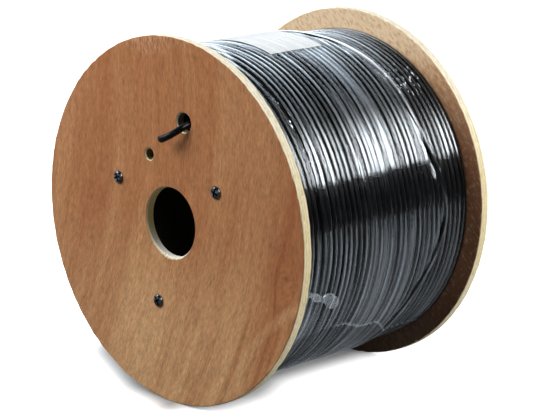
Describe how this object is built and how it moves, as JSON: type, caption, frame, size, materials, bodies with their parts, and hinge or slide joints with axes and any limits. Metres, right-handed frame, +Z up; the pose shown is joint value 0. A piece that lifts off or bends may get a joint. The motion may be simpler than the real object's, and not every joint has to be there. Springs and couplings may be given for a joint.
{
  "type": "cable drum",
  "caption": "Plywood cable drum wound full of black cable under clear stretch film, with a bare label and the cable's inner end out of one flange.",
  "frame": {"origin": "centre of the overall box without the cable's loose end: on the spindle bore's axis, halfway between the bolt heads and the bolts' thread ends", "axes": "+Y along the spindle bore from the flange with the cable-exit hole to the other flange, +Z up with the drum lying on its rims, +X to the right seen from the front flange"},
  "size_m": [0.3996, 0.3109, 0.3996],
  "materials": {
    "plywood": "bare plywood, reddish-brown face veneer, cream plies at the edge",
    "core_board": "spiral-wound board",
    "cable_jacket": "smooth black jacket",
    "label_paper": "plain white paper, bare",
    "clear_film": "clear glossy stretch film",
    "black_steel": "black oxide",
    "zinc_steel": "zinc plated"
  },
  "bodies": {
    "root": {"flange_front": "plywood", "flange_back": "plywood", "barrel": "core_board", "cable_winding": "cable_jacket", "cable_tail": "cable_jacket", "label": "label_paper", "stretch_film": "clear_film", "tie_bolt_1": "black_steel", "tie_bolt_2": "black_steel", "tie_bolt_3": "black_steel", "washer_1": "zinc_steel", "washer_2": "zinc_steel", "washer_3": "zinc_steel", "nut_1": "zinc_steel", "nut_2": "zinc_steel", "nut_3": "zinc_steel"}
  },
  "joints": []
}
